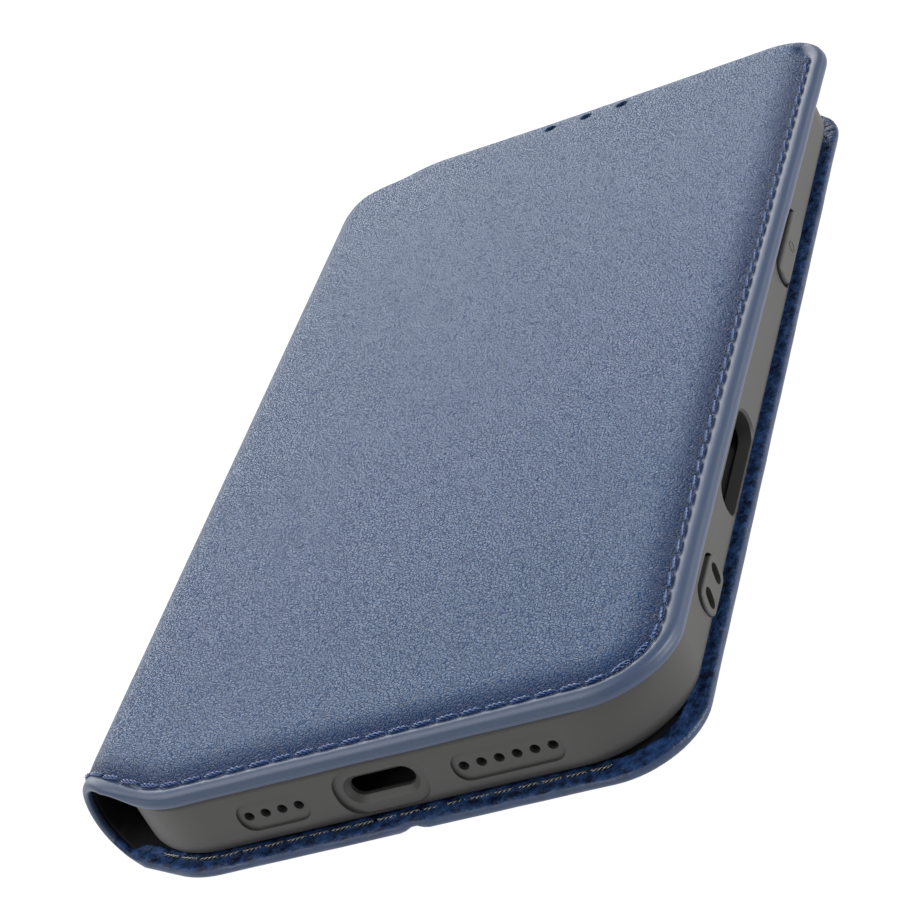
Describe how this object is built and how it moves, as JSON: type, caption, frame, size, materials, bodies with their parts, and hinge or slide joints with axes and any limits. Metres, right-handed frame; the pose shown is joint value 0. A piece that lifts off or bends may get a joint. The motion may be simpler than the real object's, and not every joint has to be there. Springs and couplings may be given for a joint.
{
  "type": "phone wallet case",
  "caption": "Closed book-style phone wallet case: moulded tray, stitched leather covers on a soft folding spine, card pockets and magnetic closing.",
  "frame": {"origin": "on the outer face of the back cover, under the middle of the phone tray", "axes": "+X towards the free edge of the covers, -X towards the spine; +Y towards the top of the phone, -Y towards its charging port; +Z from the back cover to the front cover"},
  "size_m": [0.0848, 0.1542, 0.0136],
  "materials": {
    "navy_leather": "fine pebble grain, satin",
    "navy_thread": "twisted polyester thread",
    "black_lining": "matte microfibre",
    "grey_board": "plain",
    "padding_foam": "thin closed-cell foam",
    "magnet_plate": "nickel plated",
    "adhesive_film": "clear film",
    "grey_tpu": "matte moulded TPU",
    "pocket_leather": "thin smooth grain"
  },
  "bodies": {
    "root": {"back_skin": "navy_leather", "back_board_right": "grey_board", "back_board_left": "grey_board", "back_lining": "black_lining", "back_magnets": "magnet_plate", "back_stitching": "navy_thread", "adhesive_pad": "adhesive_film", "phone_tray": "grey_tpu"},
    "spine_lower": {"spine_skin_lower": "navy_leather", "spine_lining_lower": "black_lining", "spine_stitching_lower": "navy_thread"},
    "spine_upper": {"spine_skin_upper": "navy_leather", "spine_lining_upper": "black_lining", "spine_stitching_upper": "navy_thread"},
    "front_cover": {"front_skin": "navy_leather", "front_padding": "padding_foam", "front_board": "grey_board", "front_lining": "black_lining", "front_magnets": "magnet_plate", "front_stitching": "navy_thread", "note_pocket": "pocket_leather", "card_pocket_1": "pocket_leather", "card_pocket_2": "pocket_leather", "card_pocket_3": "pocket_leather"},
    "power_button": {"power_button": "grey_tpu"},
    "volume_up_button": {"volume_up_button": "grey_tpu"},
    "volume_down_button": {"volume_down_button": "grey_tpu"},
    "action_button": {"action_button": "grey_tpu"}
  },
  "joints": [
    {"name": "spine_root_bend", "type": "hinge", "parent": "root", "child": "spine_lower", "pos_m": [-0.03805, 0, 0.0007], "axis": [0, -1, 0], "range_deg": [0, 41]},
    {"name": "spine_middle_bend", "type": "hinge", "parent": "spine_lower", "child": "spine_upper", "pos_m": [-0.044, 0, 0.00665], "axis": [0, -1, 0], "range_deg": [0, 98]},
    {"name": "cover_bend", "type": "hinge", "parent": "spine_upper", "child": "front_cover", "pos_m": [-0.03805, 0, 0.0126], "axis": [0, -1, 0], "range_deg": [0, 41]},
    {"name": "power_press", "type": "slide", "parent": "root", "child": "power_button", "axis": [-1, 0, 0], "range_m": [0, 0.00035], "stiffness_N_per_m": 2500},
    {"name": "volume_up_press", "type": "slide", "parent": "root", "child": "volume_up_button", "axis": [1, 0, 0], "range_m": [0, 0.00035], "stiffness_N_per_m": 2500},
    {"name": "volume_down_press", "type": "slide", "parent": "root", "child": "volume_down_button", "axis": [1, 0, 0], "range_m": [0, 0.00035], "stiffness_N_per_m": 2500},
    {"name": "action_press", "type": "slide", "parent": "root", "child": "action_button", "axis": [1, 0, 0], "range_m": [0, 0.00035], "stiffness_N_per_m": 2500}
  ],
  "couplings": [
    {"joint": "spine_root_bend", "follows": "cover_bend", "ratio": 1},
    {"joint": "spine_middle_bend", "follows": "cover_bend", "ratio": 2.39}
  ]
}
